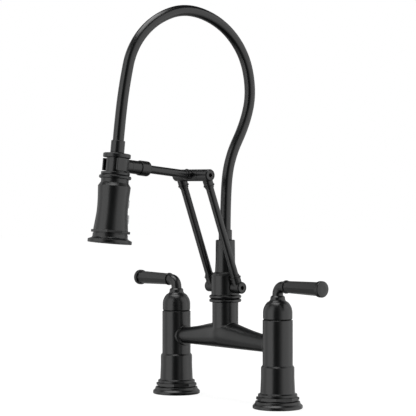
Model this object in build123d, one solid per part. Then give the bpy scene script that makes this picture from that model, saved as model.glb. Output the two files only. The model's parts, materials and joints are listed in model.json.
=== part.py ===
from build123d import *
import os
from math import acos, cos, degrees, pi, radians, sin, sqrt, tan

# Bridge kitchen faucet with an articulated arm, a pull-off spray and an arched hose.
# Millimetres. The origin is on the deck, midway between the two pillars. +X runs along the
# bridge towards the right lever, -Y points over the sink, +Z is up.

# ---------------------------------------------------------------- fits shared by many pieces
running_gap = 0.1        # radial gap of a pin or stem that turns in its bore
moving_gap = 0.3         # gap between faces of pieces that move past each other
seat_gap = 0.05          # radial gap of a piece pushed or screwed into another
edge_break = 0.4         # small rounding on turned edges

# ---------------------------------------------------------------- deck and inlets
pillar_spacing = 203.2   # between the two deck holes, 8 in
deck_thickness = 30.0    # counter that the nuts are shown clamping
gasket_inset = 3.9       # flange rim outside the gasket
gasket_thickness = 1.5
shank_radius = 10.475    # 1/2 in straight pipe thread, outside
shank_wall = 3.475
shank_below_deck = 60.0
supply_thread = 14.0     # length of thread left for the supply nut
thread_relief = 2.0
relief_depth = 1.2
washer_width = 13.5      # from the shank to the washer's edge
washer_thickness = 2.0
nut_width = 6.0          # from the shank to the nut's flats
nut_thickness = 9.0
nut_chamfer = 1.2
shank_socket = 26.0      # length of shank screwed into the valve body

# ---------------------------------------------------------------- pillars, from the body outwards
body_radius = 18.5
body_top = 108.0
body_foot_wall = 3.5     # flange web that the valve body stands on
groove_foot = 0.6        # sloping floor of the shadow groove under the dome: its foot and
groove_inset = 1.7       # its top, inside the body
lip_inset = 2.7          # lip that enters the dome, inside the body
lip_height = 3.5
sleeve_wall = 2.0
sleeve_top_round = 1.6
sleeve_chamfer = 2.3
sleeve_edge = 0.25       # narrow ledge at the sleeve's top and foot
sleeve_height = 38.4     # foot step and sleeve, up to the valve body
sleeve_flare = 0.6       # the sleeve's foot is this much wider
sleeve_flare_drop = 14.6 # where the flare starts, below the sleeve's top
sleeve_flare_curve = 60.0
sleeve_foot_curve = 20.0
sleeve_cove = 2.2
sleeve_cove_height = 6.5
step_width = 3.0
step_height = 3.5
step_round = 0.9
step_groove = 0.9
step_groove_height = 0.7
octagon_ledge = 2.4      # octagon's corners outside the step
octagon_height = 3.3
flange_top_inset = 3.2   # flange top inside the octagon's corners
flange_height = 10.9
flange_neck_width = 3.9
flange_neck_drop = 1.9
flange_neck_height = 1.1
flange_neck_round = 0.8
flange_cove_width = 4.7
flange_cove_height = 6.3
flange_cove_round = 3.0
flange_spread = 7.4      # rim outside the flange's top
flange_rim_height = 3.6
flange_rim_round = 1.5

# ---------------------------------------------------------------- valves
cartridge_radius = 9.5
cartridge_room = 3.5     # water space round the cartridge
cartridge_seat = 62.0
cartridge_height = 30.0
cartridge_head_height = 9.0
cartridge_wall = 2.0
window_width = 8.0
window_height = 8.0
stem_radius = 5.0
ceramic_disc_height = 3.0
ceramic_disc_lift = 1.0

# ---------------------------------------------------------------- levers
dome_gap = 1.5           # shadow gap between valve body and dome
dome_inset = 0.4         # dome inside the body's outline
dome_skirt = 7.5         # straight part of the dome
dome_roof = 0.5          # recess roof below the dome's centre
dome_rim_inset = 5.1     # where the dome ends and the cove starts
dome_step = 0.2
dome_cove = 4.0
dome_cove_rise = 2.2
collar_margin = 2.3      # neck collar outside the elbow
collar_flare = 0.3
collar_chamfer = 1.5
collar_height = 28.3     # top of the neck collar above the dome's lower edge
stem_in_dome = 9.5       # stem above the dome's centre
elbow_radius = 6.6
elbow_bend = 9.8
elbow_rise = 11.3        # grip axis above the neck collar
elbow_stud_radius = 4.0
elbow_stud_length = 6.0
bead_margin = 1.6
bead_width = 2.6
bead_round = 1.0
grip_gap_width = 1.0     # shadow gap between the bead and the grip
grip_gap_margin = 1.6    # gap's floor inside the grip's corners
elbow_reach = 14.5       # from the pillar's axis to the bead
grip_inner_radius = 7.35 # octagon, to its corners
grip_outer_radius = 8.45
grip_length = 58.2
cap_margin = 1.4
cap_thickness = 6.6
cap_round = 1.7
cap_inner_round = 0.7
cap_crown = 1.1
set_screw_radius = 2.5
set_screw_length = 7.0
set_screw_socket = 2.0
set_screw_height = 4.5   # above the dome's centre

# ---------------------------------------------------------------- bridge
bar_underside = 67.0     # height of the straight underside
bar_end_radius = 9.8     # bar radius at the pillar's axis
bar_mid_swell = 8.4      # how much wider it is at the riser's axis
bar_swell_power = 1.6    # how sharply the bar swells towards the riser
bar_steps = 7            # sections that shape each half of the bar
riser_foot_round = 1.8   # where the riser grows out of the bar
bar_wall = 3.8           # round the waterway, at the bar's ends
spigot_wall = 2.6        # round the waterway, where the bar enters the body
spigot_reach = 7.5       # how deep it goes past the body's surface
spigot_root = 4.0        # how far it runs back inside the bar
seal_radius = 0.7
bridge_collar_margin = 3.2
bridge_collar_stand = 2.0
bridge_collar_round = 1.2
riser_radius = 16.5
riser_top = 124.7

# ---------------------------------------------------------------- swivel
swivel_radius = 11.5     # spigot that the hub turns on
swivel_wall = 3.5
swivel_socket = 14.0     # length screwed into the riser
swivel_gap = 0.2
swivel_floor = 6.5       # hub floor that the nut holds down
swivel_seal_inset = 1.9  # each O-ring from the floor's faces
ring_height = 4.7
ring_lip = 0.8           # foot of the lower bead outside the riser
ring_lip_height = 0.7
bead_proud = 2.6         # both beads outside the hub
ring_waist = 0.3         # bottom of the groove between the beads, outside the hub
ring_slope = 0.9
ring_round = 1.3
upper_bead_height = 3.6
upper_bead_cove = 1.3
spigot_nut_width = 1.3
spigot_nut_room = 0.4
spigot_nut_height = 4.0
hub_radius = 17.7
hub_height = 28.3        # bead and straight wall
hub_shoulder_height = 4.9
hub_shoulder_inset = 1.5
hub_shoulder_drop = 1.3
hub_shoulder_round = 1.1
hub_shoulder_rise = 0.6
hub_boss_margin = 1.0
hub_boss_root = 3.0
hub_thread_skin = 0.7    # metal left behind a pivot screw's thread
post_thread_length = 5.0
post_radius = 12.2
post_height = 40.8
post_waist = 0.2
post_waist_height = 14.0
post_waist_round = 40.0
post_foot_flare = 0.95
post_foot_round = 0.8
post_top_round = 1.3
post_bore = 5.0
post_roof = 3.0

# ---------------------------------------------------------------- hose and ferrules
hose_radius = 6.8
hose_bore = 4.0
nipple_wall = 1.15
nipple_length = 10.0
ferrule_wall = 1.6
ferrule_round = 0.7
post_ferrule_height = 12.6
spray_ferrule_height = 15.1
ferrule_lift = 0.6       # gap line between the spray's top disc and its ferrule
hose_start_run = 56.0    # straight stretch above the post
hose_end_run = 41.0      # straight stretch above the spray
# corners of the hose's route in the plane X = 0, as (Y, Z), between the two straight stretches;
# its three pieces meet in the middle of a run
rear_corners = ((6.5, 307.0), (33.0, 352.0), (43.0, 393.0))
crown_corners = ((31.0, 441.7), (-7.0, 478.7), (-63.0, 493.7), (-113.0, 475.7), (-146.1, 440.6))
front_corners = ((-156.8, 396.0),)
corner_share = 0.45      # part of the shorter run that a corner's arc takes up

# ---------------------------------------------------------------- arms
pivot_height = 14.5      # lower pivot above the hub's lower face
lower_arm_length = 150.0
lower_arm_lean = 20.1    # degrees forward of upright
upper_arm_rise = 6.0     # degrees above level
upper_arm_length = 118.5 # crossbar to the spray's axis
pivot_radius = 4.0       # screw shoulder
pivot_thread_step = 1.0  # thread radius below the shoulder's
pivot_thread_length = 4.0
pivot_head_step = 1.6    # head radius above the shoulder's
pivot_head_height = 3.0
pivot_head_depth = 0.3   # head below the barrel's face
hex_socket = 5.0         # across flats
hex_depth = 3.6
barrel_wall = 1.8        # round a screw's head
barrel_chamfer = 1.2
barrel_end = 34.0        # outer face of the lower barrels from the middle plane
hub_boss = 0.25          # pivot seats outside the hub
crossbar_half = 34.7
centre_barrel_half = 14.4
rod_spacing = 51.4
rod_radius = 4.9
socket_wall = 1.3
socket_lip_margin = 0.75
socket_lip_slope = 0.2
socket_lip = 1.5
socket_length = 14.2
socket_neck_wall = 0.7
socket_neck = 2.6
arm_tube_radius = 5.0
arm_tube_wall = 1.45
arm_socket_length = 11.5
nut_wall = 4.25
nut_length = 14.1
nut_round = 2.3
nut_front_round = 0.6
sleeve_tube_wall = 3.2
sleeve_length = 13.9
sleeve_nose = 1.2        # plug that centres the sleeve in the dock's boss
arm_tube_recess = 2.0    # how far the arm tube stops short of the sleeve's front
sleeve_front = 20.0      # front face of the dock sleeve from the spray's axis

# ---------------------------------------------------------------- dock and spray
neck_radius = 12.25
dock_wall = 2.9
dock_half_height = 7.4
dock_side_gap = 0.85     # each side of the neck, between the dock's arms
dock_arm_reach = 9.6     # ends of the arms in front of the spray's axis
dock_arm_round = 1.0
magnet_radius = 5.0
magnet_thickness = 3.0
magnet_skin = 1.2        # dock wall in front of the magnet
disc_gap = 1.1           # between dock and the disc above it
disc_radius = 16.75
disc_height = 5.0
disc_top_round = 1.3
disc_bottom_round = 0.6
ring_gap = 1.8           # between dock and the ring below it
neck_ring_radius = 17.5
neck_ring_height = 3.2
neck_ring_round = 0.75
neck_groove = 1.2
neck_groove_depth = 1.3
spray_bead_radius = 19.55
spray_bead_height = 3.6
spray_bead_slope = 0.2
spray_bead_round = 1.5
core_thread_radius = 11.0
core_thread_length = 8.0
shell_neck_radius = 16.8
shell_neck_height = 4.6
shell_neck_cove = 2.5
shoulder_radius = 19.85
shoulder_drop = 4.6
shoulder_round = 0.7
shell_waist_radius = 18.7
waist_shares = (0.335, 0.595)   # ends of the straight waist, down the skirt
shell_flare = 2.4        # foot outside the waist
shell_height = 62.4
shell_wall = 2.6
shell_roof = 3.0
core_wall = 8.3
core_bore = 4.5
bezel_octagon_margin = 2.8
bezel_octagon_height = 3.1
bezel_waist_inset = 2.6  # waist inside the octagon's corners
bezel_groove = 0.8       # shadow groove under the band
bezel_groove_height = 1.1
bezel_cove = 2.8
bezel_cove_height = 2.1  # the cove's corner above the rim
bezel_overlap = 1.0
bezel_flare = 5.4        # rim outside the waist
bezel_disc_height = 4.0
bezel_disc_round = 0.9
bezel_height = 15.4
bezel_wall = 2.4
face_thickness = 3.0
face_recess = 1.0
nozzle_radius = 0.8
nozzle_height = 1.2
nozzle_rings = (6.5, 10.5, 14.5)
nozzle_pitch = 4.6       # spacing along a ring, at the least

# ---------------------------------------------------------------- rocker on the spray
rocker_width = 12.0
rocker_height = 36.0
rocker_centre = 55.5     # below the dock's middle
rocker_inset = 0.5       # outer face inside the shell's waist
rocker_thickness = 2.4
rocker_gap = 0.5
rocker_round = 1.5
rocker_pin_radius = 1.0
rocker_pin_depth = 2.7   # pin axis behind the rocker's outer face
rocker_pin_grip = 1.2    # how far the pin's ends reach into the shell
pad_width = 9.0
pad_heights = (10.0, 11.0)
pad_offsets = (9.5, -9.0)   # pad middles above the rocker's pivot
pad_depths = (4.0, 5.8)
pad_round = 0.5          # share of a pad's depth that its rounded edges take up

# ---------------------------------------------------------------- sizes that follow
sides = (("left", -1), ("right", 1))
shank_bore = shank_radius - shank_wall
body_bottom = gasket_thickness + body_foot_wall
sleeve_radius = body_radius + sleeve_wall
sleeve_foot_radius = sleeve_radius + sleeve_flare
step_radius = sleeve_foot_radius + step_width
octagon_radius = step_radius + octagon_ledge
flange_top_radius = octagon_radius - flange_top_inset
flange_radius = flange_top_radius + flange_spread
gasket_radius = flange_radius - gasket_inset
octagon_top = flange_height + octagon_height
sleeve_top = octagon_top + sleeve_height
body_lip_radius = body_radius - lip_inset
cartridge_cavity = cartridge_radius + cartridge_room
washer_top = -deck_thickness
nut_top = washer_top - washer_thickness
relief_bottom = supply_thread - shank_below_deck

port_height = bar_underside + bar_end_radius
bar_bore = bar_end_radius - bar_wall
spigot_radius = bar_bore + spigot_wall
swivel_bore = swivel_radius - swivel_wall

dome_bottom = body_top + dome_gap
dome_centre = dome_bottom + dome_skirt
dome_radius = body_radius - dome_inset
dome_rim_radius = dome_radius - dome_rim_inset
collar_radius = elbow_radius + collar_margin
collar_top = dome_bottom + collar_height
stem_top = dome_centre + stem_in_dome
grip_height = collar_top + elbow_rise
bead_radius = elbow_radius + bead_margin
cap_radius = grip_outer_radius + cap_margin

ring_radius = hub_radius + bead_proud
groove_radius = hub_radius + ring_waist
ring_top = riser_top + ring_height
hub_bottom = ring_top + swivel_gap
hub_floor_top = hub_bottom + swivel_floor
spigot_nut_radius = swivel_radius + spigot_nut_width
hub_cavity = spigot_nut_radius + spigot_nut_room
hub_wall_top = hub_bottom + hub_height
hub_top = hub_wall_top + hub_shoulder_height
post_foot_radius = post_radius + post_foot_flare
hub_shoulder_radius = hub_radius - hub_shoulder_inset
post_top = hub_top + post_height
nipple_radius = hose_bore - seat_gap
nipple_bore = hose_bore - nipple_wall - seat_gap
ferrule_radius = hose_radius + ferrule_wall + seat_gap

lower_pivot = Vector(0, 0, hub_bottom + pivot_height)
hub_face = hub_radius + hub_boss
hub_thread_length = hub_face - hub_cavity - hub_thread_skin
pivot_thread_radius = pivot_radius - pivot_thread_step
pivot_head_radius = pivot_radius + pivot_head_step
barrel_radius = pivot_head_radius + barrel_wall
rod_seat = barrel_radius + seat_gap   # end of each rod from the pivot axis
socket_radius = rod_radius + socket_wall
socket_lip_radius = socket_radius + socket_lip_margin
nut_radius = arm_tube_radius + nut_wall
sleeve_tube_radius = arm_tube_radius + sleeve_tube_wall

dock_back = neck_radius + moving_gap
dock_inner = neck_radius + dock_side_gap
dock_outer = dock_inner + dock_wall
magnet_seat = dock_back + magnet_skin
core_radius = core_bore + core_wall
bezel_octagon_radius = shell_waist_radius + shell_flare + bezel_octagon_margin
bezel_waist_radius = bezel_octagon_radius - bezel_waist_inset
bezel_disc_radius = bezel_waist_radius + bezel_flare
face_radius = bezel_waist_radius - bezel_wall
rocker_face = shell_waist_radius - rocker_inset
rocker_pivot = rocker_face - rocker_pin_depth


# ================================================================ helpers
def rounded_face(corners):
    """Face in the XZ plane with straight sides; a corner (x, z, radius) becomes a tangent arc."""
    points = [Vector(corner[0], 0, corner[1]) for corner in corners]
    edges = []
    joints = []
    for i, corner in enumerate(corners):
        here = points[i]
        if len(corner) < 3:
            joints.append((here, here))
            continue
        radius = corner[2]
        back = (points[i - 1] - here).normalized()
        ahead = (points[(i + 1) % len(points)] - here).normalized()
        half = radians(back.get_angle(ahead)) / 2
        start = here + back * (radius / tan(half))
        end = here + ahead * (radius / tan(half))
        middle = here + (back + ahead).normalized() * (radius / sin(half) - radius)
        edges.append(ThreePointArc(start, middle, end))
        joints.append((start, end))
    for before, after in zip(joints, joints[1:] + joints[:1]):
        if (after[0] - before[1]).length > 1e-6:
            edges.append(Line(before[1], after[0]))
    return Face(Wire(edges))


def turned(*corners):
    """Solid turned about Z from an outline of (radius, height) or (radius, height, rounding)."""
    return revolve(rounded_face(corners), Axis.Z)


def corner_radii(points):
    """Radius at each inner corner whose arc takes up the share above of the shorter run beside it."""
    radii = []
    for before, here, after in zip(points, points[1:], points[2:]):
        turn = (here - before).get_angle(after - here)
        shorter = min((here - before).length, (after - here).length)
        radii.append(corner_share * shorter / tan(radians(turn) / 2))
    return radii


def tube(outer, inner, low, high, rounding=0):
    """Turned tube from low to high, with its outer edges rounded if asked."""
    outside = ((outer, low, rounding), (outer, high, rounding)) if rounding else ((outer, low), (outer, high))
    return turned((inner, low), *outside, (inner, high))


def rod(radius, low, high):
    """Plain round bar on Z from low to high."""
    return Pos(0, 0, low) * Cylinder(radius, high - low, align=(Align.CENTER, Align.CENTER, Align.MIN))


def prism(sketch, low, high):
    """Sketch on the XY plane, extruded from low to high."""
    return Pos(0, 0, low) * extrude(sketch, high - low)


def hexagon(across_flats):
    """Hexagon with the given width across its flats."""
    return RegularPolygon(across_flats / 2, 6, major_radius=False)


def torus(ring, section, height):
    """O-ring on Z."""
    return Pos(0, 0, height) * Torus(ring, section)


def at_pillar(side):
    """Frame on a pillar's axis whose X points outwards, away from the bridge."""
    return Pos(side * pillar_spacing / 2, 0, 0) * Rot(Z=0 if side > 0 else 180)


def leaning(origin, degrees_forward):
    """Frame at origin whose Z leans forward, over the sink, by that many degrees from upright."""
    return Pos(*origin) * Rot(X=degrees_forward)


def along_x(side=1):
    """Turns a piece made on Z so that it points outwards along X on that side."""
    return Rot(Y=90 * side)


lower_arm_frame = leaning(lower_pivot, lower_arm_lean)
crossbar_centre = (lower_arm_frame * Pos(0, 0, lower_arm_length)).position
upper_arm_frame = leaning(crossbar_centre, 90 - upper_arm_rise)
dock_centre = (upper_arm_frame * Pos(0, 0, upper_arm_length)).position
spray_frame = leaning(dock_centre, -upper_arm_rise)


# ================================================================ deck and pillars
def deck_gasket():
    return tube(gasket_radius, shank_radius + seat_gap, 0, gasket_thickness)


def base_flange():
    """Round moulded foot with a cove, and the octagonal ring on top."""
    foot = turned(
        (shank_radius + moving_gap, gasket_thickness),
        (gasket_radius + seat_gap, gasket_thickness),
        (gasket_radius + seat_gap, 0),
        (flange_radius, 0, flange_rim_round),
        (flange_radius, flange_rim_height, flange_rim_round),
        (flange_top_radius + flange_cove_width, flange_cove_height, flange_cove_round),
        (flange_top_radius + flange_neck_width, flange_height - flange_neck_drop, flange_neck_round),
        (flange_top_radius, flange_height - flange_neck_height),
        (flange_top_radius, flange_height),
        (shank_radius + moving_gap, flange_height),
    )
    octagon = prism(RegularPolygon(octagon_radius, 8), flange_height, octagon_top)
    octagon = fillet(octagon.faces().sort_by(Axis.Z)[-1].edges(), edge_break)
    return foot + octagon - rod(body_radius + seat_gap, body_bottom, octagon_top)


def base_sleeve():
    """Round step, cove and tapering sleeve that hides the foot of the valve body."""
    step_top = octagon_top + step_height
    groove_radius_here = step_radius - step_groove
    groove_top = octagon_top + step_groove_height
    return turned(
        (body_radius + seat_gap, octagon_top),
        (groove_radius_here, octagon_top),
        (groove_radius_here, groove_top),
        (step_radius, groove_top, edge_break),
        (step_radius, step_top, step_round),
        (sleeve_foot_radius + sleeve_edge, step_top + step_round, sleeve_cove),
        (sleeve_foot_radius, step_top + sleeve_cove_height, sleeve_foot_curve),
        (sleeve_radius, sleeve_top - sleeve_flare_drop, sleeve_flare_curve),
        (sleeve_radius, sleeve_top - sleeve_chamfer, sleeve_top_round),
        (body_radius + seat_gap + sleeve_edge, sleeve_top),
        (body_radius + seat_gap, sleeve_top),
    )


def valve_body():
    """Pillar casting: shank socket below, cartridge cavity above, side port towards the bridge."""
    casting = turned(
        (shank_radius + seat_gap, body_bottom),
        (body_radius, body_bottom),
        (body_radius, body_top, edge_break),
        (body_radius - groove_foot, body_top),
        (body_radius - groove_inset, dome_bottom - moving_gap),
        (body_lip_radius, dome_bottom - moving_gap),
        (body_lip_radius, body_top + lip_height, edge_break),
        (cartridge_cavity, body_top + lip_height),
        (cartridge_cavity, cartridge_seat),
        (shank_bore, cartridge_seat),
        (shank_bore, body_bottom + shank_socket),
        (shank_radius + seat_gap, body_bottom + shank_socket),
    )
    port = along_x(-1) * rod(spigot_radius + seat_gap, 0, 2 * body_radius)
    return casting - Pos(0, 0, port_height) * port


def inlet_shank():
    """Threaded pipe through the deck, with a relief between mounting and supply threads."""
    pipe = tube(shank_radius, shank_bore, -shank_below_deck, body_bottom + shank_socket, edge_break)
    floor = shank_radius - relief_depth
    return pipe - tube(2 * shank_radius, floor, relief_bottom, relief_bottom + thread_relief)


def mounting_washer():
    return tube(shank_radius + washer_width, shank_radius + seat_gap, nut_top, washer_top)


def mounting_nut():
    """Hexagon nut with its corners chamfered on both faces."""
    low = nut_top - nut_thickness
    flats = 2 * (shank_radius + nut_width)
    corners = flats / sqrt(3)
    round_bar = turned(
        (0, low), (corners - nut_chamfer, low), (corners, low + nut_chamfer / 2),
        (corners, nut_top - nut_chamfer / 2), (corners - nut_chamfer, nut_top), (0, nut_top),
    )
    return (prism(hexagon(flats), low, nut_top) & round_bar) - rod(shank_radius + seat_gap, low, nut_top)


def cartridge():
    """Fixed housing of the quarter-turn ceramic valve, open below, with two side windows."""
    base = cartridge_seat
    shoulder = base + cartridge_height
    head = shoulder + cartridge_head_height
    chamber = cartridge_radius - cartridge_wall
    chamber_top = port_height + window_height / 2 + 2 * ceramic_disc_lift + ceramic_disc_height
    housing = turned(
        (chamber, base),
        (cartridge_radius, base),
        (cartridge_radius, shoulder),
        (cartridge_cavity - seat_gap, shoulder),
        (cartridge_cavity - seat_gap, head),
        (stem_radius + running_gap, head),
        (stem_radius + running_gap, chamber_top),
        (chamber, chamber_top),
    )
    window = Pos(0, 0, port_height) * Box(3 * cartridge_radius, window_width, window_height)
    return housing - window


def cartridge_nut():
    """Threaded ring that holds the cartridge down."""
    low = cartridge_seat + cartridge_height + cartridge_head_height
    return tube(cartridge_cavity - seat_gap, stem_radius + moving_gap, low, body_top, edge_break)


def valve_stem():
    """Stem that turns with the lever, with the moving ceramic disc at its foot."""
    low = port_height + window_height / 2 + ceramic_disc_lift
    disc = rod(cartridge_radius - cartridge_wall - running_gap, low, low + ceramic_disc_height)
    return disc + rod(stem_radius, low, stem_top)


# ================================================================ levers
def handle_dome(side):
    """Domed hub over the valve body, with its neck collar."""
    rim_angle = acos(dome_rim_radius / dome_radius)
    corner_height = dome_centre + dome_radius * tan(rim_angle / 2)
    rim_height = dome_centre + dome_radius * sin(rim_angle)
    skirt_bore = body_lip_radius + moving_gap
    dome = turned(
        (0, dome_centre - dome_roof),
        (skirt_bore, dome_centre - dome_roof),
        (skirt_bore, dome_bottom),
        (dome_radius, dome_bottom, edge_break),
        (dome_radius, corner_height, dome_radius - 0.01),
        (dome_rim_radius - dome_step, rim_height + dome_step),
        (collar_radius + collar_flare, rim_height + dome_step + dome_cove_rise, dome_cove),
        (collar_radius, collar_top - collar_chamfer, edge_break),
        (collar_radius - collar_chamfer, collar_top),
        (0, collar_top),
    )
    stem_bore = rod(stem_radius + seat_gap, body_top, stem_top)
    stud_bore = rod(elbow_stud_radius + seat_gap, collar_top - elbow_stud_length, collar_top)
    return dome - stem_bore - stud_bore - set_screw_place(side) * set_screw_hole()


def set_screw_place(side):
    """Frame at a pillar's stem whose Z points to the back of the faucet, where the set screw sits."""
    return Pos(0, 0, dome_centre + set_screw_height) * Rot(X=-90 * side)


def set_screw_hole():
    return rod(set_screw_radius + seat_gap, stem_radius, 2 * dome_radius)


def handle_screw(side):
    """Headless set screw that clamps the dome on the stem."""
    low = stem_radius + seat_gap
    high = low + set_screw_length
    screw = rod(set_screw_radius, low, high)
    return set_screw_place(side) * (screw - prism(hexagon(set_screw_radius), high - set_screw_socket, high))


def handle_elbow():
    """Bent neck of the lever, with a stud into the dome and the ring bead at its end."""
    turn = Vector(0, 0, grip_height)
    path = FilletPolyline(
        (0, 0, collar_top), turn, (elbow_reach + seat_gap, 0, grip_height), radius=elbow_bend
    )
    neck = sweep(Plane(origin=(0, 0, collar_top)) * Circle(elbow_radius), path=path)
    bead = tube(bead_radius, 0, elbow_reach, elbow_reach + bead_width, bead_round)
    stud = rod(elbow_stud_radius, collar_top - elbow_stud_length, collar_top + elbow_stud_radius)
    return neck + Pos(turn) * along_x() * bead + stud


def handle_grip():
    """Octagonal grip that thickens outwards, with its round end cap."""
    bead_face = elbow_reach + bead_width
    start = bead_face + grip_gap_width
    end = start + grip_length
    cap_end = end + cap_thickness
    inner = Pos(0, 0, start) * RegularPolygon(grip_inner_radius, 8)
    outer = Pos(0, 0, end) * RegularPolygon(grip_outer_radius, 8)
    neck = rod(grip_inner_radius - grip_gap_margin, bead_face, start)
    cap = turned(
        (0, end),
        (cap_radius, end, cap_inner_round),
        (cap_radius, cap_end - cap_crown, cap_round),
        (cap_radius / 2, cap_end),
        (0, cap_end),
    )
    return Pos(0, 0, grip_height) * along_x() * (neck + loft([inner, outer]) + cap)


# ================================================================ bridge
def bar_radius(x):
    """Bar radius at x: it swells from the pillars to the riser."""
    along = 1 - abs(x) / (pillar_spacing / 2)
    return bar_end_radius + bar_mid_swell * along**bar_swell_power


def bar_section(x, radius):
    """Round section whose lowest point lies on the straight underside."""
    return Plane(origin=(x, 0, bar_underside + radius), z_dir=(1, 0, 0)) * Circle(radius)


def bridge_body():
    """Swelling bar, riser and waterways, with a spigot at each end."""
    half = pillar_spacing / 2
    stations = [half * step / bar_steps for step in range(-bar_steps, bar_steps + 1)]
    bar = loft([bar_section(x, bar_radius(x)) for x in stations])
    solid = bar + rod(riser_radius, bar_underside + bar_radius(0), riser_top)
    solid = fillet(riser_foot_edges(solid), riser_foot_round)
    for name, side in sides:
        solid -= Pos(side * half, 0, 0) * rod(body_radius + seat_gap, 0, body_top)
    for name, side in sides:
        solid += at_pillar(side) * bridge_spigot()
    solid -= Pos(0, 0, port_height) * along_x() * rod(bar_bore, -half, half)
    solid -= rod(swivel_bore, port_height, riser_top)
    return solid - rod(swivel_radius + seat_gap, riser_top - swivel_socket, riser_top)


def riser_foot_edges(solid):
    """Edges where the riser's round side meets the bar."""
    side = solid.faces().filter_by(GeomType.CYLINDER).sort_by(Axis.Z)[-1]
    return [edge for edge in side.edges() if edge.center().Z < riser_top - riser_radius / 2
            and edge.geom_type != GeomType.LINE]


def bridge_spigot():
    """Stub from inside the bar into the valve body's port, with an O-ring groove."""
    tip = body_radius - spigot_reach
    stub = rod(spigot_radius, tip, body_radius + spigot_root)
    stub -= seal_groove(spigot_radius, seal_middle())
    return Pos(0, 0, port_height) * along_x(-1) * stub


def seal_groove(outside, height):
    """Groove on Z for an O-ring whose outer edge is flush with a pipe of that outside radius."""
    half = seal_radius + seat_gap
    return tube(2 * outside, outside - 2 * seal_radius - seat_gap, height - half, height + half)


def seal_middle():
    """Distance of the bridge O-ring from the pillar's axis."""
    return body_radius - spigot_reach / 2


def bridge_seal():
    ring = torus(spigot_radius - seal_radius, seal_radius, seal_middle())
    return Pos(0, 0, port_height) * along_x(-1) * ring


def bridge_collar():
    """Saddle collar round the bar, which follows the pillar's curve."""
    reach = body_radius + bridge_collar_stand
    near = bar_radius(pillar_spacing / 2 - reach)
    disc = along_x(-1) * rod(bar_end_radius + bridge_collar_margin, 0, 2 * reach)
    bar_hole = Pos(0, 0, near - bar_end_radius) * along_x(-1) * rod(near + seat_gap, 0, 2 * reach)
    plate = disc & tube(reach, body_radius + seat_gap, -reach, reach)
    plate = fillet(plate.edges().group_by(Axis.X)[0], bridge_collar_round)
    return Pos(0, 0, port_height) * (plate - bar_hole)


def riser_ring():
    """Lower bead, on top of the riser."""
    return turned(
        (swivel_radius + seat_gap, riser_top),
        (riser_radius + ring_lip, riser_top),
        (ring_radius, riser_top + ring_lip_height, ring_round),
        (ring_radius, ring_top - ring_slope, ring_round),
        (groove_radius, ring_top),
        (swivel_radius + seat_gap, ring_top),
    )


# ================================================================ swivel and hub
def swivel_seal_heights():
    """Two O-rings inside the hub's floor."""
    return [hub_bottom + swivel_seal_inset, hub_floor_top - swivel_seal_inset]


def swivel_spigot():
    """Fixed pipe in the riser that the hub turns on."""
    top = hub_floor_top + spigot_nut_height + 2 * moving_gap
    pipe = tube(swivel_radius, swivel_bore, riser_top - swivel_socket, top)
    for height in swivel_seal_heights():
        pipe -= seal_groove(swivel_radius, height)
    return pipe


def swivel_seals():
    return [torus(swivel_radius - seal_radius, seal_radius, height) for height in swivel_seal_heights()]


def spigot_nut():
    """Ring on the spigot that holds the hub down."""
    low = hub_floor_top + moving_gap
    return tube(spigot_nut_radius, swivel_radius + seat_gap, low, low + spigot_nut_height)


def swivel_hub():
    """Turning hub: upper bead and an open cup with a pivot seat on each side."""
    hub = turned(
        (swivel_radius + running_gap, hub_bottom),
        (groove_radius, hub_bottom),
        (ring_radius, hub_bottom + ring_slope, ring_round),
        (ring_radius, hub_bottom + upper_bead_height, ring_round),
        (hub_radius, hub_bottom + upper_bead_height + upper_bead_cove, edge_break),
        (hub_radius, hub_wall_top),
        (hub_cavity, hub_wall_top),
        (hub_cavity, hub_floor_top),
        (swivel_radius + running_gap, hub_floor_top),
    )
    for name, side in sides:
        seat = along_x(side) * rod(pivot_radius + hub_boss_margin, hub_radius - hub_boss_root, hub_face)
        hub += Pos(lower_pivot) * seat
    for name, side in sides:
        hub -= Pos(lower_pivot) * along_x(side) * pivot_thread_hole(hub_face, hub_thread_length)
    return hub


def pivot_thread_hole(face, length):
    """Blind threaded hole for a pivot screw, from its face inwards."""
    return rod(pivot_thread_radius + seat_gap, face - length - seat_gap, face)


def hose_post():
    """Screwed cap of the hub with its rounded shoulder, the flared post and the hose nipple."""
    return turned(
        (nipple_bore, post_top + nipple_length),
        (nipple_radius, post_top + nipple_length),
        (nipple_radius, post_top),
        (post_radius, post_top, post_top_round),
        (post_radius + post_waist, hub_top + post_waist_height, post_waist_round),
        (post_foot_radius, hub_top, post_foot_round),
        (hub_shoulder_radius, hub_top - hub_shoulder_drop, hub_shoulder_round),
        (hub_radius, hub_wall_top + hub_shoulder_rise, edge_break),
        (hub_radius, hub_wall_top),
        (hub_cavity - seat_gap, hub_wall_top),
        (hub_cavity - seat_gap, hub_wall_top - post_thread_length),
        (post_bore, hub_wall_top - post_thread_length),
        (post_bore, post_top - post_roof),
        (nipple_bore, post_top - post_roof),
    )


def ferrule(height):
    """Crimped sleeve round a hose end, standing on Z = 0."""
    return tube(ferrule_radius, hose_radius + seat_gap, 0, height, ferrule_round)


# ================================================================ arms
def pivot_screw(outer_face, inner_face, thread_length):
    """Shoulder screw on Z: flush socket head at the outer face, thread past the inner face."""
    head_bottom = outer_face - pivot_head_height
    head_top = outer_face - pivot_head_depth
    screw = rod(pivot_head_radius, head_bottom, head_top)
    screw += rod(pivot_radius, inner_face, head_bottom)
    screw += rod(pivot_thread_radius, inner_face - thread_length, inner_face)
    return screw - prism(hexagon(hex_socket), head_top - hex_depth, head_top)


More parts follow.
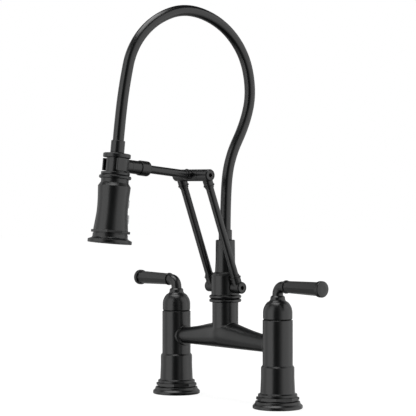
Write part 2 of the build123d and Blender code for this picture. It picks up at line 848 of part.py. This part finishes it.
def barrel(inner_face, outer_face):
    """Pivot barrel on Z with its screw bore and head recess."""
    head_bottom = outer_face - pivot_head_height
    return turned(
        (pivot_radius + running_gap, inner_face),
        (barrel_radius, inner_face, edge_break),
        (barrel_radius, outer_face - barrel_chamfer, edge_break),
        (barrel_radius - barrel_chamfer, outer_face),
        (pivot_head_radius + running_gap, outer_face),
        (pivot_head_radius + running_gap, head_bottom - seat_gap),
        (pivot_radius + running_gap, head_bottom - seat_gap),
    )


def rod_socket(length, bore):
    """Collar on Z that grows out of a barrel and holds a rod: plain sleeve, lip and thin neck."""
    neck = bore + socket_neck_wall
    return turned(
        (0, 0),
        (socket_radius, 0),
        (socket_radius, length - socket_lip),
        (socket_lip_radius, length - socket_lip + socket_lip_slope),
        (socket_lip_radius, length, edge_break),
        (neck, length),
        (neck, length + socket_neck, edge_break),
        (bore, length + socket_neck),
        (bore, rod_seat),
        (0, rod_seat),
    )


def pivot_barrel(side, inner_face, outer_face, direction):
    """Barrel on one side of the arm, with its rod socket pointing up (1) or down (-1) the arm."""
    body = along_x(side) * barrel(inner_face, outer_face)
    socket = rod_socket(socket_length, rod_radius + seat_gap)
    turned_socket = socket if direction > 0 else Rot(X=180) * socket
    socket_x = side * rod_spacing / 2
    bore = along_x(side) * rod(pivot_radius + running_gap, inner_face, outer_face - pivot_head_height)
    recess = along_x(side) * rod(pivot_head_radius + running_gap, outer_face - pivot_head_height, outer_face)
    return body + Pos(socket_x, 0, 0) * turned_socket - bore - recess


def lower_rod():
    return rod(rod_radius, rod_seat, lower_arm_length - rod_seat)


def centre_barrel():
    """Middle of the crossbar, threaded at both ends, with the upper arm's socket on Z."""
    body = along_x() * tube(barrel_radius, 0, -centre_barrel_half, centre_barrel_half, edge_break)
    body += rod_socket(arm_socket_length, arm_tube_radius + seat_gap)
    for name, side in sides:
        body -= along_x(side) * pivot_thread_hole(centre_barrel_half, pivot_thread_length)
    return body


def arm_tube():
    front = upper_arm_length - sleeve_front - arm_tube_recess
    return tube(arm_tube_radius, arm_tube_radius - arm_tube_wall, rod_seat, front)


def arm_nut():
    """Round nut behind the dock sleeve, with its well rounded rear end."""
    front = upper_arm_length - sleeve_front - sleeve_length
    bore = arm_tube_radius + seat_gap
    rear = front - nut_length
    return turned(
        (bore, rear), (nut_radius, rear, nut_round), (nut_radius, front, nut_front_round), (bore, front)
    )


def dock_sleeve():
    front = upper_arm_length - sleeve_front
    bore = arm_tube_radius + seat_gap
    body = tube(sleeve_tube_radius, bore, front - sleeve_length, front, edge_break)
    return body + rod(magnet_radius, front - arm_tube_recess, front + sleeve_nose)


# ================================================================ dock, in the spray's frame
def dock_outline(radius, reach):
    """U-shaped outline: a round back just behind the neck and arms that reach to the front."""
    centre = dock_inner - dock_back
    arms = Pos(0, -(centre + reach) / 2) * Rectangle(2 * radius, reach - centre)
    behind = Pos(0, radius - centre) * Rectangle(2 * radius, 2 * radius)
    return (Pos(0, -centre) * Circle(radius) & behind) + arms


def dock_cradle():
    """U-shaped cradle, open to the front, with a boss for the sleeve and a pocket for the magnet."""
    outline = dock_outline(dock_outer, dock_arm_reach) - dock_outline(dock_inner, 2 * dock_arm_reach)
    cradle = prism(outline, -dock_half_height, dock_half_height)
    arm_ends = cradle.faces().sort_by(Axis.Y)[:2]
    cradle = fillet(arm_ends[0].edges() + arm_ends[1].edges(), dock_arm_round)
    boss = backwards() * rod(sleeve_tube_radius, 0, sleeve_front)
    boss -= prism(dock_outline(dock_inner + magnet_skin, dock_arm_reach), -dock_outer, dock_outer)
    return cradle + boss - backwards() * rod(magnet_radius + seat_gap, magnet_seat, sleeve_front)


def backwards():
    """Turns a piece made on Z so that it points to the back, towards the post."""
    return Rot(X=-90)


def dock_magnet():
    return backwards() * rod(magnet_radius, magnet_seat, magnet_seat + magnet_thickness)


# ================================================================ spray, in its own frame
disc_bottom = dock_half_height + disc_gap
disc_top = disc_bottom + disc_height
neck_bottom = -dock_half_height - ring_gap
neck_ring_bottom = neck_bottom - neck_ring_height
bead_top = neck_ring_bottom - neck_groove
shell_top = bead_top - spray_bead_height
shoulder = shell_top - shell_neck_height - shoulder_drop
shell_bottom = shell_top - shell_height
bezel_bottom = shell_bottom - bezel_height
ferrule_bottom = disc_top + ferrule_lift


def spray_neck():
    """Top disc, dock neck and the two rings below it, with the hose nipple on top."""
    nipple_top = disc_top + nipple_length
    thread_bottom = shell_top - core_thread_length
    return turned(
        (nipple_bore, nipple_top),
        (nipple_radius, nipple_top),
        (nipple_radius, disc_top),
        (disc_radius, disc_top, disc_top_round),
        (disc_radius, disc_bottom, disc_bottom_round),
        (neck_radius, disc_bottom),
        (neck_radius, neck_bottom),
        (neck_ring_radius, neck_bottom, neck_ring_round),
        (neck_ring_radius, neck_ring_bottom, neck_ring_round),
        (neck_ring_radius - neck_groove_depth, neck_ring_bottom - neck_groove / 2),
        (spray_bead_radius, bead_top + spray_bead_slope, spray_bead_round),
        (spray_bead_radius, shell_top, spray_bead_round),
        (core_thread_radius, shell_top),
        (core_thread_radius, thread_bottom),
        (core_bore, thread_bottom),
        (core_bore, neck_bottom),
        (nipple_bore, neck_bottom),
    )


def spray_shell():
    """Flared shell with a window for the rocker on the side towards the post."""
    neck_inside = shell_neck_radius - shell_wall
    waist_inside = shell_waist_radius - shell_wall
    foot_radius = shell_waist_radius + shell_flare
    waist_top, waist_bottom = [shoulder + share * (shell_bottom - shoulder) for share in waist_shares]
    skirt = [
        Vector(shoulder_radius, shoulder),
        Vector(shell_waist_radius, waist_top),
        Vector(shell_waist_radius, waist_bottom),
        Vector(foot_radius, shell_bottom),
    ]
    top_curve, bottom_curve = corner_radii(skirt)
    shell = turned(
        (core_thread_radius + seat_gap, shell_top),
        (shell_neck_radius, shell_top),
        (shell_neck_radius, shell_top - shell_neck_height, shell_neck_cove),
        (shoulder_radius, shoulder, shoulder_round),
        (shell_waist_radius, waist_top, top_curve),
        (shell_waist_radius, waist_bottom, bottom_curve),
        (foot_radius, shell_bottom),
        (foot_radius - shell_wall, shell_bottom),
        (waist_inside, waist_bottom),
        (waist_inside, shoulder - shoulder_drop),
        (neck_inside, shell_top - shell_neck_height),
        (neck_inside, shell_top - shell_roof),
        (core_thread_radius + seat_gap, shell_top - shell_roof),
    )
    window = Box(rocker_width + 2 * rocker_gap, 2 * core_radius, rocker_height + 2 * rocker_gap)
    shell -= rocker_frame * Pos(0, 2 * core_radius, 0) * window
    pin_reach = rocker_width / 2 + rocker_gap + rocker_pin_grip + moving_gap
    return shell - rocker_frame * rocker_pin(rocker_pin_radius + running_gap, pin_reach)


def spray_core():
    """Diverter housing inside the shell, from the neck's thread to the bezel."""
    return tube(core_radius, core_bore, shell_bottom, shell_top - core_thread_length)


def spray_bezel():
    """Octagonal band, waist and flared rim that holds the face plate."""
    band_bottom = shell_bottom - bezel_octagon_height
    disc_top_edge = bezel_bottom + bezel_disc_height
    band = prism(RegularPolygon(bezel_octagon_radius, 8), band_bottom, shell_bottom)
    band = fillet(band.edges().filter_by(GeomType.LINE).filter_by(Axis.Z, reverse=True), edge_break)
    groove_bottom = band_bottom - bezel_groove_height
    rim = turned(
        (face_radius, band_bottom + bezel_overlap),
        (bezel_waist_radius - bezel_groove, band_bottom + bezel_overlap),
        (bezel_waist_radius - bezel_groove, groove_bottom),
        (bezel_waist_radius, groove_bottom, edge_break),
        (bezel_waist_radius, disc_top_edge + bezel_cove_height, bezel_cove),
        (bezel_disc_radius, disc_top_edge, edge_break),
        (bezel_disc_radius, bezel_bottom, bezel_disc_round),
        (face_radius, bezel_bottom),
    )
    solid = band - rod(core_radius + seat_gap, band_bottom, shell_bottom) + rim
    return solid - rod(face_radius, bezel_bottom, band_bottom)


def spray_face():
    """Face plate with rings of soft nozzles and the stream outlet in the middle."""
    low = bezel_bottom + face_recess
    plate = tube(face_radius - seat_gap, core_bore, low, low + face_thickness, edge_break)
    for ring in nozzle_rings:
        count = int(2 * pi * ring / nozzle_pitch)
        for step in range(count):
            turn = Rot(Z=360 * step / count)
            plate += turn * Pos(ring, 0, 0) * rod(nozzle_radius, low - nozzle_height, low + nozzle_height)
    return plate


# ================================================================ rocker, in the spray's frame
rocker_frame = Pos(0, 0, -rocker_centre)


def rocker_pin(radius, half_length):
    """Pin along X through the rocker's pivot."""
    return Pos(0, rocker_pivot, 0) * along_x() * rod(radius, -half_length, half_length)


def rocker_plate():
    """Rocking plate with a rib behind it, whose two trunnions hold it in the shell."""
    plate = Pos(0, rocker_face - rocker_thickness / 2, 0) * Box(rocker_width, rocker_thickness, rocker_height)
    plate = fillet(plate.edges().filter_by(Axis.Y), rocker_round)
    rib_depth = rocker_pin_depth - rocker_thickness / 2
    rib_middle = rocker_face - rocker_thickness / 2 - rib_depth / 2
    rib = Pos(0, rib_middle, 0) * Box(rocker_width, rib_depth, 2 * rocker_pin_radius)
    trunnions = rocker_pin(rocker_pin_radius, rocker_width / 2 + rocker_gap + rocker_pin_grip)
    return rocker_frame * (plate + rib + trunnions)


def rocker_pads():
    """Two raised soft pads, the upper for the stream and the lower for the spray."""
    pads = []
    for height, offset, depth in zip(pad_heights, pad_offsets, pad_depths):
        block = Pos(0, rocker_face + depth / 2, offset) * Box(pad_width, depth, height)
        edges = block.faces().sort_by(Axis.Y)[-1].edges()
        pads.append(rocker_frame * fillet(edges, pad_round * depth))
    return pads


# ================================================================ hose
hose_base = Vector(0, 0, post_top + moving_gap)
hose_tip = (spray_frame * Pos(0, 0, disc_top + moving_gap)).position
first_corner = hose_base + Vector(0, 0, hose_start_run)
last_corner = (spray_frame * Pos(0, 0, disc_top + moving_gap + hose_end_run)).position


def in_middle_plane(corners):
    return [Vector(0, y, z) for y, z in corners]


rear_route = [first_corner, *in_middle_plane(rear_corners)]
crown_route = in_middle_plane(crown_corners)
front_route = [*in_middle_plane(front_corners), last_corner]
hose_points = [hose_base, *rear_route, *crown_route, *front_route, hose_tip]
hose_radii = corner_radii(hose_points)
rear_end = (rear_route[-1] + crown_route[0]) / 2
crown_end = (crown_route[-1] + front_route[0]) / 2


def hose(name, start, route, end):
    """Stretch of hose from start to end past the corners of its route."""
    first = hose_points.index(route[0])
    radii = hose_radii[first - 1:first - 1 + len(route)]
    path = FilletPolyline(start, *route, end, radius=radii)
    plane = Plane(origin=start, x_dir=(1, 0, 0), z_dir=route[0] - start)
    piece = sweep(plane * (Circle(hose_radius) - Circle(hose_bore)), path=path)
    expected = pi * (hose_radius**2 - hose_bore**2) * path.length
    print(name, "length", round(path.length, 1), "radii", [round(r) for r in radii])
    print(name, "volume", round(piece.volume), "section x length", round(expected))
    return piece


# ================================================================ output
def save(name, *solids):
    """Writes one node, as one solid or a group of separate solids."""
    shape = solids[0] if len(solids) == 1 else Compound(children=[Solid(s.solid().wrapped) for s in solids])
    export_step(shape, "parts/" + name + ".step")


def save_group(name, piece, frames):
    """Writes one node that holds a copy of a piece in each frame."""
    save(name, *[frame * piece for frame in frames])


os.makedirs("parts", exist_ok=True)
pillars = [at_pillar(side) for name, side in sides]

for name, side in sides:
    place = at_pillar(side)
    save("base_flange_" + name, place * base_flange())
    save("base_sleeve_" + name, place * base_sleeve())
    save("valve_body_" + name, place * valve_body())
    save("inlet_shank_" + name, place * inlet_shank())
    save("cartridge_" + name, place * cartridge())
    save("valve_stem_" + name, place * valve_stem())
    save("handle_dome_" + name, place * handle_dome(side))
    save("handle_screw_" + name, place * handle_screw(side))
    save("handle_elbow_" + name, place * handle_elbow())
    save("handle_grip_" + name, place * handle_grip())

save_group("deck_gaskets", deck_gasket(), pillars)
save_group("mounting_washers", mounting_washer(), pillars)
save_group("mounting_nuts", mounting_nut(), pillars)
save_group("cartridge_nuts", cartridge_nut(), pillars)
save_group("bridge_collars", bridge_collar(), pillars)
save_group("bridge_seals", bridge_seal(), pillars)
save("bridge_body", bridge_body())
save("riser_ring", riser_ring())
save("swivel_spigot", swivel_spigot())
save("swivel_seals", *swivel_seals())
save("spigot_nut", spigot_nut())

save("swivel_hub", swivel_hub())
save("hose_post", hose_post())
save("post_ferrule", Pos(0, 0, post_top) * ferrule(post_ferrule_height))
lower_screw = pivot_screw(barrel_end, hub_face, hub_thread_length)
save_group("lower_pivot_screws", lower_screw, [Pos(lower_pivot) * along_x(side) for name, side in sides])

top_pivot = Pos(0, 0, lower_arm_length)
end_face = centre_barrel_half + moving_gap
for name, side in sides:
    lower = pivot_barrel(side, hub_face + moving_gap, barrel_end, 1)
    upper = pivot_barrel(side, end_face, crossbar_half, -1)
    save("lower_barrel_" + name, lower_arm_frame * lower)
    save("upper_barrel_" + name, lower_arm_frame * top_pivot * upper)
    save("lower_rod_" + name, lower_arm_frame * Pos(side * rod_spacing / 2, 0, 0) * lower_rod())

upper_screw = pivot_screw(crossbar_half, centre_barrel_half, pivot_thread_length)
save_group("crossbar_screws", upper_screw, [upper_arm_frame * along_x(side) for name, side in sides])
save("centre_barrel", upper_arm_frame * centre_barrel())
save("arm_tube", upper_arm_frame * arm_tube())
save("arm_nut", upper_arm_frame * arm_nut())
save("dock_sleeve", upper_arm_frame * dock_sleeve())
save("dock_cradle", spray_frame * dock_cradle())
save("dock_magnet", spray_frame * dock_magnet())

save("spray_ferrule", spray_frame * Pos(0, 0, ferrule_bottom) * ferrule(spray_ferrule_height))
save("spray_neck", spray_frame * spray_neck())
save("spray_shell", spray_frame * spray_shell())
save("spray_core", spray_frame * spray_core())
save("spray_bezel", spray_frame * spray_bezel())
save("spray_face", spray_frame * spray_face())
save("rocker_plate", spray_frame * rocker_plate())
save("rocker_pads", *[spray_frame * pad for pad in rocker_pads()])

save("hose_rear", hose("hose_rear", hose_base, rear_route, rear_end))
save("hose_crown", hose("hose_crown", rear_end, crown_route, crown_end))
save("hose_front", hose("hose_front", crown_end, front_route, hose_tip))
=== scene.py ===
"""Bridge kitchen faucet in a matte black coat: finishes, hose and studio."""
import json
import math

import bmesh
import bpy
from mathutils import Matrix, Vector


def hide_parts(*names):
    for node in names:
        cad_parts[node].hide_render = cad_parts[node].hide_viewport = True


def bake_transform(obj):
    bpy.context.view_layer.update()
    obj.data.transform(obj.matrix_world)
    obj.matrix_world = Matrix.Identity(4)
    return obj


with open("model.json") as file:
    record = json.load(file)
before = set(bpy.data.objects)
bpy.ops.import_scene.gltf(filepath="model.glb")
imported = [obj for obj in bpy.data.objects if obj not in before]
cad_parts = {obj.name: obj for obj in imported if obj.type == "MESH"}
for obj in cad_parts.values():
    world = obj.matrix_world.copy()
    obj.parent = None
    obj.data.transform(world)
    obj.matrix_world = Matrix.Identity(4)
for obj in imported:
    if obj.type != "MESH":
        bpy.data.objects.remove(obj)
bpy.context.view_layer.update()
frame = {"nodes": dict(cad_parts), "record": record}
MM = 0.001
INCH = 25.4 * MM

# ------------------------------------------------------------------ camera and studio
VIEW_AZIMUTH = math.radians(51.5)
TO_CAMERA = Vector((math.sin(VIEW_AZIMUTH), -math.cos(VIEW_AZIMUTH), 0.0))
TO_RIGHT = Vector((math.cos(VIEW_AZIMUTH), math.sin(VIEW_AZIMUTH), 0.0))
CAMERA_PLACE = Vector((1.7472, -1.4178, 0.2736))
CAMERA_PITCH = math.radians(-0.759)
CAMERA_LENS, SENSOR_WIDTH = 153.9, 36.0      # millimetres
VIEW_END = 50.0
STUDIO_CENTRE = Vector((0.0, -0.05, 0.2))
STUDIO_RADIUS = 1.7
SOFTBOXES = (
    # name, degrees right of the camera, width, bottom, top, radiance
    ("left_edge", -41.7, 0.50, -1.0, 2.0, 1.95),
    ("left", -67.4, 1.04, -1.0, 2.0, 1.62),
    ("left_low", -60.0, 1.56, -2.6, -1.0, 0.85),
    ("left_rear", -113.5, 1.85, -0.5, 1.6, 0.8),
    ("left_rear_low", -113.5, 1.85, -2.6, -0.5, 0.4),
    ("right_edge", 15.0, 0.34, -1.0, 2.4, 0.2),
    ("right_step", 28.0, 0.42, -1.0, 2.4, 0.7),
    ("right", 71.0, 2.55, -1.0, 2.2, 1.4),
    ("right_low", 71.0, 2.55, -2.6, -1.0, 0.7),
    ("right_rear", 129.0, 1.5, -0.8, 1.7, 0.7),
    ("right_rear_low", 129.0, 1.5, -2.6, -0.8, 0.3),
    ("back", 180.0, 2.2, -2.6, 1.2, 0.3),
)
TOP_LAMP_SHIFT = TO_RIGHT * -0.38 + Vector((0.0, 0.0, 2.0))
TOP_LAMP_WIDTH, TOP_LAMP_DEPTH, TOP_LAMP_RADIANCE = 2.0, 1.2, 4.0
WORLD_LEVEL = 0.025          # what every ray but the camera's meets beyond the lamps
FLOOR_HALF_WIDTH = 6.0
FLOOR_DROP = 0.3 * MM        # below the gaskets
FLOOR_GREY, FLOOR_GLOW = 0.25, 0.85
FULL_GLOW_FROM, FULL_GLOW_AT = 0.5, 1.6
SHANK_ACROSS = 4 * INCH      # from the middle to each shank
PAINTED_SHADE_GREY = 0.05            # painted shade: grey of the floor between and round the shanks, off camera
SHADE_CORE, SHADE_EDGE = 22 * MM, 32 * MM


def grey(level):
    return (level, level, level, 1.0)


def place_camera():
    """The photograph's viewpoint."""
    data = bpy.data.cameras.new("camera")
    data.lens = CAMERA_LENS
    data.sensor_width = SENSOR_WIDTH
    data.clip_end = VIEW_END
    camera = bpy.data.objects.new("camera", data)
    bpy.context.scene.collection.objects.link(camera)
    aim = -TO_CAMERA * math.cos(CAMERA_PITCH) + Vector((0, 0, math.sin(CAMERA_PITCH)))
    camera.location = CAMERA_PLACE
    camera.rotation_euler = aim.to_track_quat("-Z", "Y").to_euler()
    bpy.context.scene.camera = camera


def softbox(name, angle, width, bottom, top, radiance):
    """Upright area lamp that stands from bottom to top, angle degrees right of the camera."""
    turn = math.radians(angle)
    towards = TO_CAMERA * math.cos(turn) + TO_RIGHT * math.sin(turn)
    middle = STUDIO_CENTRE + towards * STUDIO_RADIUS
    middle.z = (bottom + top) / 2
    lamp(name + "_softbox", middle, towards, width, top - bottom, radiance)


def lamp(name, place, towards, width, height, radiance):
    """Area lamp at a place, turned to shine against the direction towards it."""
    data = bpy.data.lights.new(name, "AREA")
    data.shape = "RECTANGLE"
    data.size = width
    data.size_y = height
    data.energy = radiance * math.pi * width * height
    item = bpy.data.objects.new(name, data)
    bpy.context.scene.collection.objects.link(item)
    item.location = place
    item.rotation_euler = towards.to_track_quat("Z", "Y").to_euler()
    item.visible_camera = False


# ------------------------------------------------------------------ shader helpers
class Socket:
    """A shader output that takes Python arithmetic, each step of which adds a Math node."""

    def __init__(self, shader, output):
        self.shader = shader
        self.output = output

    def math(self, operation, *values):
        node = self.shader.add("ShaderNodeMath", {"operation": operation})
        for slot, value in zip(node.inputs, values):
            self.shader.feed(slot, value)
        return Socket(self.shader, node.outputs[0])

    def __add__(self, other):
        return self.math("ADD", self, other)

    def __sub__(self, other):
        return self.math("SUBTRACT", self, other)

    def __rsub__(self, other):
        return self.math("SUBTRACT", other, self)

    def __mul__(self, other):
        return self.math("MULTIPLY", self, other)

    __radd__ = __add__
    __rmul__ = __mul__


class Shader:
    """A new node material or world with one method that adds any node."""

    def __init__(self, holder):
        holder.use_nodes = True
        self.tree = holder.node_tree
        self.tree.nodes.clear()

    def feed(self, slot, value):
        if isinstance(value, Socket):
            self.tree.links.new(value.output, slot)
        else:
            slot.default_value = value

    def add(self, kind, settings=None, inputs=None):
        node = self.tree.nodes.new(kind)
        for name, value in (settings or {}).items():
            setattr(node, name, value)
        for name, value in (inputs or {}).items():
            self.feed(node.inputs[name], value)
        return node

    def out(self, kind, output=0, settings=None, inputs=None):
        return Socket(self, self.add(kind, settings, inputs).outputs[output])

    def place(self, scale=(1.0, 1.0, 1.0)):
        """Object coordinates, scaled."""
        point = self.out("ShaderNodeTexCoord", "Object")
        return self.out(
            "ShaderNodeMapping", 0, {"vector_type": "POINT"}, {"Vector": point, "Scale": scale}
        )

    def noise(self, scale, detail=2.0, vector=None):
        """Noise from 0 to 1 with its features about 1 / scale metres wide."""
        return self.out(
            "ShaderNodeTexNoise", "Fac", {},
            {"Vector": vector or self.place(), "Scale": scale, "Detail": detail},
        )

    def ramp(self, value, start, end):
        """0 at the start and 1 at the end, smooth between them."""
        return self.out(
            "ShaderNodeMapRange", 0, {"interpolation_type": "SMOOTHSTEP"},
            {"Value": value, "From Min": start, "From Max": end},
        )

    def pick(self, mask, first, second):
        """The first shader where the mask is 0 and the second where it is 1."""
        mix = self.add("ShaderNodeMixShader")
        self.feed(mix.inputs[0], mask)
        self.tree.links.new(first.outputs[0], mix.inputs[1])
        self.tree.links.new(second.outputs[0], mix.inputs[2])
        return mix

    def finish_with(self, last, kind="ShaderNodeOutputMaterial"):
        """Link the last shader to a new output."""
        output = self.add(kind)
        self.tree.links.new(last.outputs[0], output.inputs["Surface"])

    def blend_colours(self, mask, low, high):
        node = self.add("ShaderNodeMix", {"data_type": "RGBA"})
        self.feed(node.inputs["Factor"], mask)
        node.inputs[6].default_value = (*low, 1.0)
        node.inputs[7].default_value = (*high, 1.0)
        return Socket(self, node.outputs[2])


def finish(name, low, high, roughness, spread, grain, depth, metallic=0.0, cloud=45.0, stretch=1.0):
    """A surface whose colour, roughness and fine relief vary. Grain is the relief's width and depth
    its height, both in millimetres. Cloud is how many clouds of colour fit in a metre. A stretch
    below 1 draws the pattern out across Z, as on turned metal."""
    material = bpy.data.materials.new(name)
    shader = Shader(material)
    place = shader.place((stretch, stretch, 1.0))
    clouds = shader.noise(cloud, 3.0, place)
    specks = shader.noise(1000.0 / grain, 2.0, place)
    bump = shader.out(
        "ShaderNodeBump", 0, {}, {"Height": specks, "Distance": depth * MM, "Strength": 1.0}
    )
    bsdf = shader.add(
        "ShaderNodeBsdfPrincipled", {},
        {
            "Base Color": shader.blend_colours(clouds, low, high),
            "Roughness": roughness + spread * (clouds + specks - 1.0),
            "Metallic": metallic,
            "Normal": bump,
        },
    )
    shader.finish_with(bsdf)
    return material


def studio_world():
    """White to the camera, and nearly dark to the object, so that the lamps alone light it."""
    world = bpy.data.worlds.new("studio")
    bpy.context.scene.world = world
    shader = Shader(world)
    camera_ray = shader.out("ShaderNodeLightPath", "Is Camera Ray")
    level = shader.blend_colours(camera_ray, (WORLD_LEVEL,) * 3, (1.0,) * 3)
    background = shader.add("ShaderNodeBackground", {}, {"Color": level, "Strength": 1.0})
    shader.finish_with(background, "ShaderNodeOutputWorld")


def studio_floor():
    """Pale deck that keeps a faint shadow for the camera, and that other rays pass through, but for
    a strip of painted shade between and round the shanks: a dark sheet that reflections meet in
    place of the shade there."""
    mesh = bpy.data.meshes.new("floor")
    form = bmesh.new()
    bmesh.ops.create_grid(form, x_segments=1, y_segments=1, size=FLOOR_HALF_WIDTH)
    bmesh.ops.translate(form, verts=form.verts, vec=(0, 0, -FLOOR_DROP))
    form.to_mesh(mesh)
    form.free()
    floor = bpy.data.objects.new("floor", mesh)
    bpy.context.scene.collection.objects.link(floor)
    material = bpy.data.materials.new("floor")
    shader = Shader(material)
    spot = shader.place()
    away = shader.out("ShaderNodeVectorMath", 1, {"operation": "LENGTH"}, {0: spot})
    far = shader.ramp(away, FULL_GLOW_FROM, FULL_GLOW_AT)
    across = shader.out("ShaderNodeSeparateXYZ", "X", {}, {"Vector": spot})
    deep = shader.out("ShaderNodeSeparateXYZ", "Y", {}, {"Vector": spot})
    beyond = across.math("ABSOLUTE", across) - SHANK_ACROSS
    beyond = beyond.math("MAXIMUM", beyond, 0.0)
    off_strip = beyond.math("SQRT", beyond * beyond + deep * deep)
    # painted shade: for every ray but the camera's, the floor turns dark grey between and round the
    # shanks
    painted_shade_mask = shader.ramp(off_strip, SHADE_EDGE, SHADE_CORE)
    clear = shader.add("ShaderNodeBsdfTransparent")
    painted_shade = shader.add("ShaderNodeBsdfDiffuse", {}, {"Color": grey(PAINTED_SHADE_GREY)})
    for_lamps = shader.pick(painted_shade_mask, clear, painted_shade)
    lit = shader.add("ShaderNodeBsdfDiffuse", {}, {"Color": grey(FLOOR_GREY)})
    strength = FLOOR_GLOW + (1.0 - FLOOR_GLOW) * far
    glow = shader.add("ShaderNodeEmission", {}, {"Color": grey(1.0), "Strength": strength})
    for_camera = shader.add("ShaderNodeAddShader")
    shader.tree.links.new(lit.outputs[0], for_camera.inputs[0])
    shader.tree.links.new(glow.outputs[0], for_camera.inputs[1])
    camera_ray = shader.out("ShaderNodeLightPath", "Is Camera Ray")
    shader.finish_with(shader.pick(camera_ray, for_lamps, for_camera))
    mesh.materials.append(material)


place_camera()
studio_world()
studio_floor()
for box in SOFTBOXES:
    softbox(*box)
lamp("top_softbox", STUDIO_CENTRE + TOP_LAMP_SHIFT, Vector((0.0, 0.0, 1.0)), TOP_LAMP_WIDTH,
     TOP_LAMP_DEPTH, TOP_LAMP_RADIANCE)
bpy.context.scene.view_settings.view_transform = "Standard"

# ------------------------------------------------------------------ finishes
BLACK = (0.0030, 0.0034, 0.0036), (0.0046, 0.0050, 0.0052)
FINISHES = {
    # darkest and lightest colour, roughness, its spread, grain, depth, metallic, cloud, stretch
    "black_coat": (*BLACK, 0.30, 0.03, 0.5, 0.003),
    "black_plastic": (*BLACK, 0.31, 0.03, 0.35, 0.003),
    "brass": ((0.50, 0.36, 0.14), (0.62, 0.46, 0.20), 0.3, 0.12, 0.4, 0.01, 1.0, 160.0, 0.15),
    "steel": ((0.42, 0.42, 0.43), (0.58, 0.58, 0.59), 0.32, 0.12, 0.3, 0.008, 1.0, 220.0),
    "black_rubber": ((0.011, 0.011, 0.011), (0.019, 0.019, 0.019), 0.6, 0.08, 0.6, 0.03),
    "hose_rubber": (*BLACK, 0.25, 0.02, 1.6, 0.0008),
    "grey_pad": ((0.50, 0.50, 0.51), (0.60, 0.60, 0.61), 0.5, 0.06, 0.5, 0.02),
    "face_plastic": ((0.016, 0.016, 0.017), (0.026, 0.026, 0.027), 0.42, 0.06, 0.4, 0.015),
}
materials = {slot: finish(slot, *values) for slot, values in FINISHES.items()}
for part in frame["record"]["subparts"]:
    node = frame["nodes"][part["node"]]
    node.data.materials.clear()
    node.data.materials.append(materials[part["material_slot"]])

# ------------------------------------------------------------------ hose
HOSE_RADIUS = 6.8 * MM
STEPS_PER_RUN, QUARTER_STEPS = 24, 14
CORNERS = [
    (6.5, 307.0), (33.0, 352.0), (43.0, 393.0), (31.0, 441.7), (-7.0, 478.7),
    (-63.0, 493.7), (-113.0, 475.7), (-146.1, 440.6), (-156.8, 396.0),
]
SPLIT_REAR, SPLIT_FRONT = (37.0, 417.35), (-151.45, 418.3)
STRETCHES = (
    # name, route, the bodies it joins, and the line along which it passes from one to the other
    ("rear", [(0.0, 203.9), (0.0, 259.9), *CORNERS[:3], SPLIT_REAR],
     ("hub", "lower_arm"), (0.0, 225.0), (36.0, 412.0)),
    ("crown", [SPLIT_REAR, *CORNERS[3:8], SPLIT_FRONT],
     ("lower_arm", "upper_arm"), (30.0, 430.0), (-144.0, 430.0)),
    ("front", [SPLIT_FRONT, CORNERS[8], (-163.67, 351.85), (-167.96, 311.07)],
     ("upper_arm", "spray"), (-151.0, 415.0), (-165.6, 336.0)),
)


def on_middle(point):
    """A (Y, Z) pair in millimetres as a point on the faucet's middle plane."""
    return Vector((0.0, point[0] * MM, point[1] * MM))


def hose_stretch(name, route, start, end):
    """Smooth tube along its route, in place of the packed hose piece of that name."""
    data = bpy.data.curves.new("hose_line_" + name, "CURVE")
    data.dimensions = "3D"
    data.resolution_u = STEPS_PER_RUN
    spline = data.splines.new("NURBS")
    spline.points.add(len(route) - 1)
    for control, point in zip(spline.points, route):
        control.co = (*on_middle(point), 1.0)
    spline.order_u = 3
    spline.use_endpoint_u = True
    line = bpy.data.objects.new("hose_line_" + name, data)
    path = [vertex.co.copy() for vertex in bpy.data.meshes.new_from_object(line).vertices]
    data.bevel_depth = HOSE_RADIUS
    data.bevel_resolution = QUARTER_STEPS
    mesh = bpy.data.meshes.new_from_object(line)
    mesh.name = "hose_" + name
    mesh.shade_smooth()
    mesh.materials.clear()
    mesh.materials.append(materials["hose_rubber"])
    piece = bpy.data.objects.new("hose_tube_" + name, mesh)
    bpy.context.scene.collection.objects.link(piece)
    bpy.data.objects.remove(line)
    on_middle(start)
    on_middle(end)
    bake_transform(piece)
    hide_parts("hose_" + name)
    on_middle(route[0])


for name, route, bodies, start, end in STRETCHES:
    hose_stretch(name, route, start, end)
